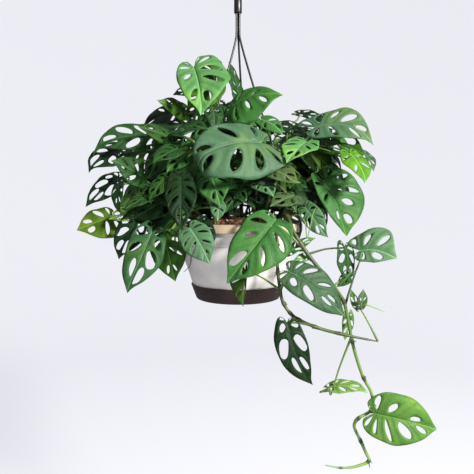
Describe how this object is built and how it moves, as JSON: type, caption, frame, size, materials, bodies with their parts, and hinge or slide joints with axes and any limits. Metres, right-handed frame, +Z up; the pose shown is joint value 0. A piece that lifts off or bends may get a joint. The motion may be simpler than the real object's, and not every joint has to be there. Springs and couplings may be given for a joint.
{
  "type": "hanging potted plant",
  "caption": "Swiss cheese vine with slotted heart-shaped leaves and two trailing shoots, in a white hanging pot with a brown saucer and a black hook hanger.",
  "frame": {"origin": "inner top of the hook's arch, where the hook rests on what holds it, on the pot's axis", "axes": "+Z up along the pot's axis, -Y towards the plant's front, where its two shoots trail over the rim, +X to the right seen from the front"},
  "size_m": [0.5192, 0.3421, 0.7725],
  "materials": {
    "pot": "satin white moulded plastic",
    "saucer": "glossy dark brown moulded plastic",
    "hanger": "satin black moulded plastic",
    "soil": "rough dark potting mix of bark, with perlite",
    "leaf": "living leaf, waxy satin green",
    "vine": "living stem and leaf, waxy satin green"
  },
  "bodies": {
    "root": {"pot": "pot", "saucer": "saucer", "soil": "soil", "hanger_hook": "hanger", "hanger_arm_1": "hanger", "hanger_arm_2": "hanger", "hanger_arm_3": "hanger", "stem_crown_left": "leaf", "stem_crown_right": "leaf", "stem_middle": "leaf", "stem_middle_left": "leaf", "stem_right_top": "leaf", "stem_right": "leaf", "stem_right_inner": "leaf", "vine_long": "vine", "vine_short": "vine", "stem_left_top": "leaf", "stem_left_middle": "leaf", "stem_left_low": "leaf", "stem_left_front": "leaf", "stem_front_left": "leaf", "stem_back_1": "leaf", "stem_back_2": "leaf", "stem_back_3": "leaf", "stem_back_4": "leaf"}
  },
  "joints": []
}
